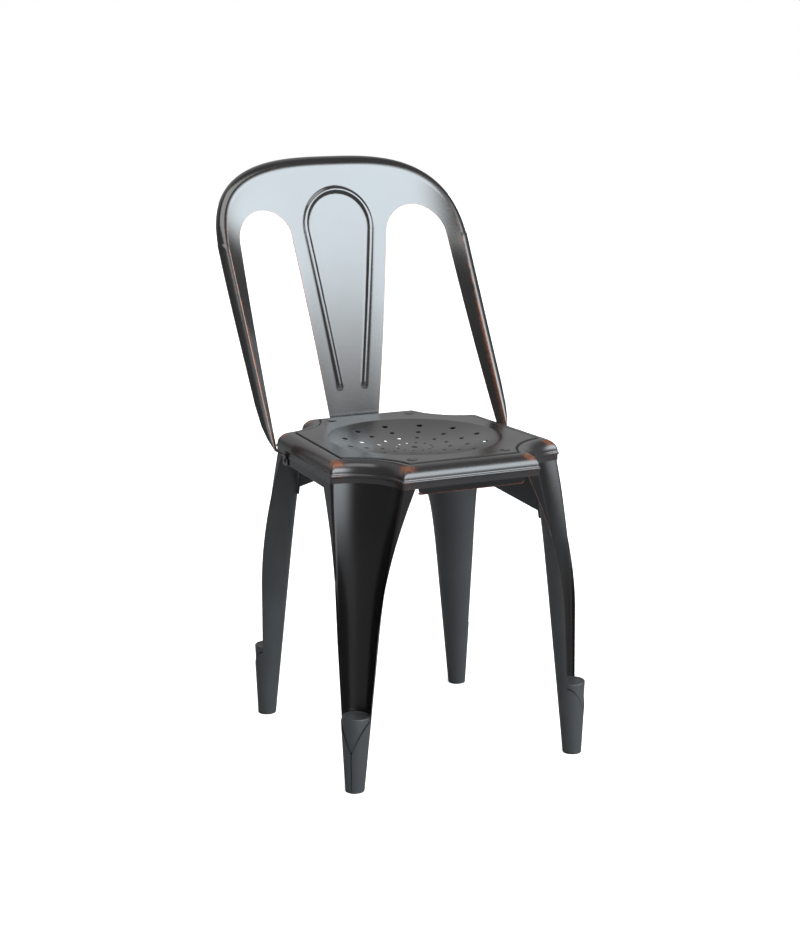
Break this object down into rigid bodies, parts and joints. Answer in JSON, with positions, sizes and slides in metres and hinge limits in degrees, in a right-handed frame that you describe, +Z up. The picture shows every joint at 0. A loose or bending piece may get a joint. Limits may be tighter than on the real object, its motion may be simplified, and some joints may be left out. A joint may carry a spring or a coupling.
{
  "type": "metal bistro chair",
  "caption": "Stacking metal chair with a pressed dished seat, flared gutter legs and a one-piece arched back with two openings and an embossed splat.",
  "frame": {"origin": "on the floor, under the middle of the chair's width and depth", "axes": "+Z up, the seat faces -Y, +X to the right of someone who looks at the chair's front"},
  "size_m": [0.4146, 0.5008, 0.8365],
  "materials": {
    "bronze_paint": "satin antique bronze with worn edges",
    "dark_steel": "satin",
    "black_rubber": "matte",
    "black_plastic": "matte"
  },
  "bodies": {
    "root": {"seat_pan": "bronze_paint", "back_shell": "bronze_paint", "leg_front_left": "bronze_paint", "leg_front_right": "bronze_paint", "leg_rear_left": "bronze_paint", "leg_rear_right": "bronze_paint", "cross_brace_left": "bronze_paint", "cross_brace_right": "bronze_paint", "seat_rivets": "bronze_paint", "stile_bolts": "dark_steel", "stile_nuts": "dark_steel", "splat_bolts": "dark_steel", "splat_nuts": "dark_steel", "glide_front_left": "black_rubber", "glide_front_right": "black_rubber", "glide_rear_left": "black_rubber", "glide_rear_right": "black_rubber", "foot_plug_front_left": "black_plastic", "foot_plug_front_right": "black_plastic", "foot_plug_rear_left": "black_plastic", "foot_plug_rear_right": "black_plastic", "apron_front": "bronze_paint", "apron_rear": "bronze_paint", "apron_left": "bronze_paint", "apron_right": "bronze_paint"}
  },
  "joints": []
}
